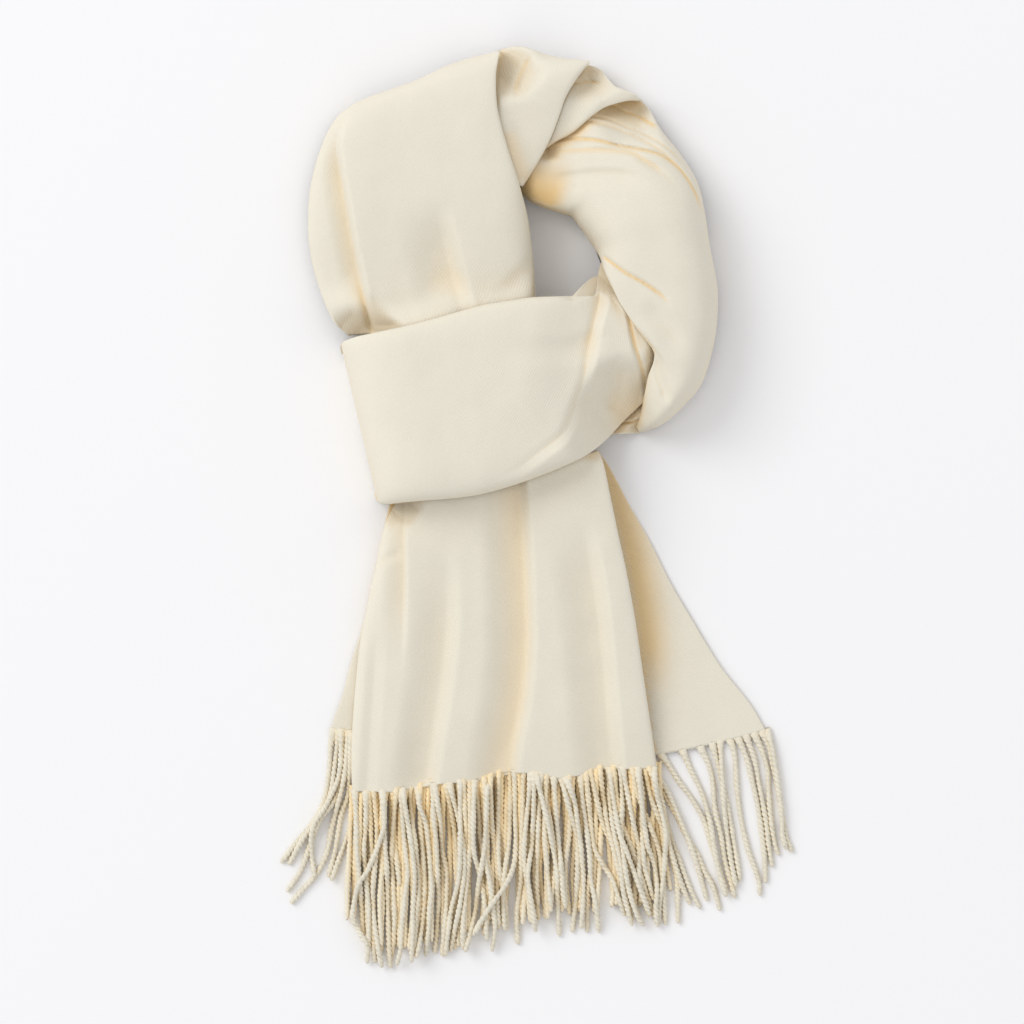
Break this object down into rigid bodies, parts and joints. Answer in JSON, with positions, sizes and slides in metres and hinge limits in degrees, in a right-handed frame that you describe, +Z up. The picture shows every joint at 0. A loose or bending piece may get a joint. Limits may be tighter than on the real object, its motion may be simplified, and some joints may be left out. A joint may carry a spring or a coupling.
{
  "type": "scarf",
  "caption": "Cream twill scarf with twisted fringe, doubled and pulled through its own loop, lying flat with a neck opening.",
  "frame": {"origin": "on the surface the scarf lies on, under the middle of its whole outline", "axes": "+X to the right as seen from above, +Y from the fringed tails towards the neck loop's far end, +Z up from the surface"},
  "size_m": [0.3223, 0.5803, 0.0615],
  "materials": {
    "cream_twill": "brushed wool twill",
    "shaded_twill": "brushed wool twill, inner layers",
    "cream_yarn": "two-ply twisted yarn"
  },
  "bodies": {
    "root": {"left_outer": "cream_twill", "left_panel": "cream_twill", "crown_fold": "cream_twill", "crown_turn": "cream_twill", "shoulder_outer": "cream_twill", "shoulder_inner": "cream_twill", "right_bundle": "cream_twill", "right_end": "cream_twill", "inner_strand": "cream_twill", "band": "cream_twill", "loop_peek": "cream_twill", "front_tail": "cream_twill", "back_tail": "cream_twill", "left_layers": "shaded_twill", "crown_layers": "shaded_twill", "right_layers": "shaded_twill", "knot_layers": "shaded_twill", "tail_layers": "shaded_twill", "front_fringe": "cream_yarn", "under_fringe": "cream_yarn", "back_fringe_left": "cream_yarn", "back_fringe_right": "cream_yarn"}
  },
  "joints": []
}
